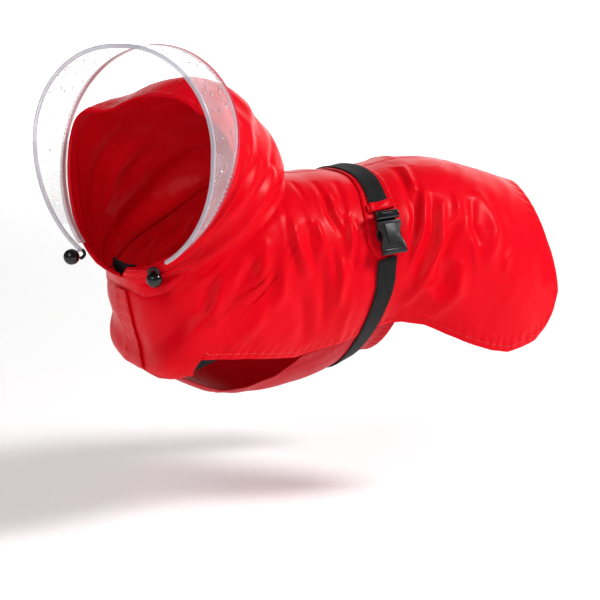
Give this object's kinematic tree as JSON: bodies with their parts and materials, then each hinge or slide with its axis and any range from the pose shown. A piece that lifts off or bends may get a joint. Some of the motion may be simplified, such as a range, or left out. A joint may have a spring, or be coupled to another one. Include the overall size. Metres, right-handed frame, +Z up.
{
  "type": "dog raincoat",
  "caption": "Hooded dog raincoat in its worn form, with a clear face visor, an open belly between the leg holes, a girth strap with a side-release buckle and ball cord locks.",
  "frame": {"origin": "the inner face of the coat at the top of the back, just behind the neck seam, where the wearer carries it", "axes": "+X towards the tail, +Z up, -Y towards the left side, which has the buckle"},
  "size_m": [0.4201, 0.208, 0.285],
  "materials": {
    "coat_nylon": "coated red nylon with a wet-looking sheen",
    "belly_nylon": "duller red nylon",
    "dark_facing": "matt black nylon",
    "webbing": "black woven polypropylene webbing",
    "clear_vinyl": "clear soft vinyl with welded edges",
    "gloss_black": "moulded black plastic",
    "elastic_cord": "braided black elastic"
  },
  "bodies": {
    "root": {"coat_left": "coat_nylon", "coat_right": "coat_nylon", "belly_panel": "belly_nylon", "collar_left": "coat_nylon", "collar_right": "coat_nylon", "hood_left": "coat_nylon", "hood_right": "coat_nylon", "hood_casing": "coat_nylon", "neck_underlap": "dark_facing", "visor_film": "clear_vinyl", "visor_binding": "clear_vinyl", "visor_rim": "clear_vinyl", "lock_left": "gloss_black", "lock_right": "gloss_black", "lock_cord_left": "elastic_cord", "lock_cord_right": "elastic_cord", "placket": "coat_nylon", "leg_facing_left": "dark_facing", "leg_facing_right": "dark_facing", "saddle_patch": "coat_nylon", "belt": "webbing", "belt_keeper": "coat_nylon", "buckle_plug": "gloss_black", "buckle_socket": "gloss_black"}
  },
  "joints": []
}
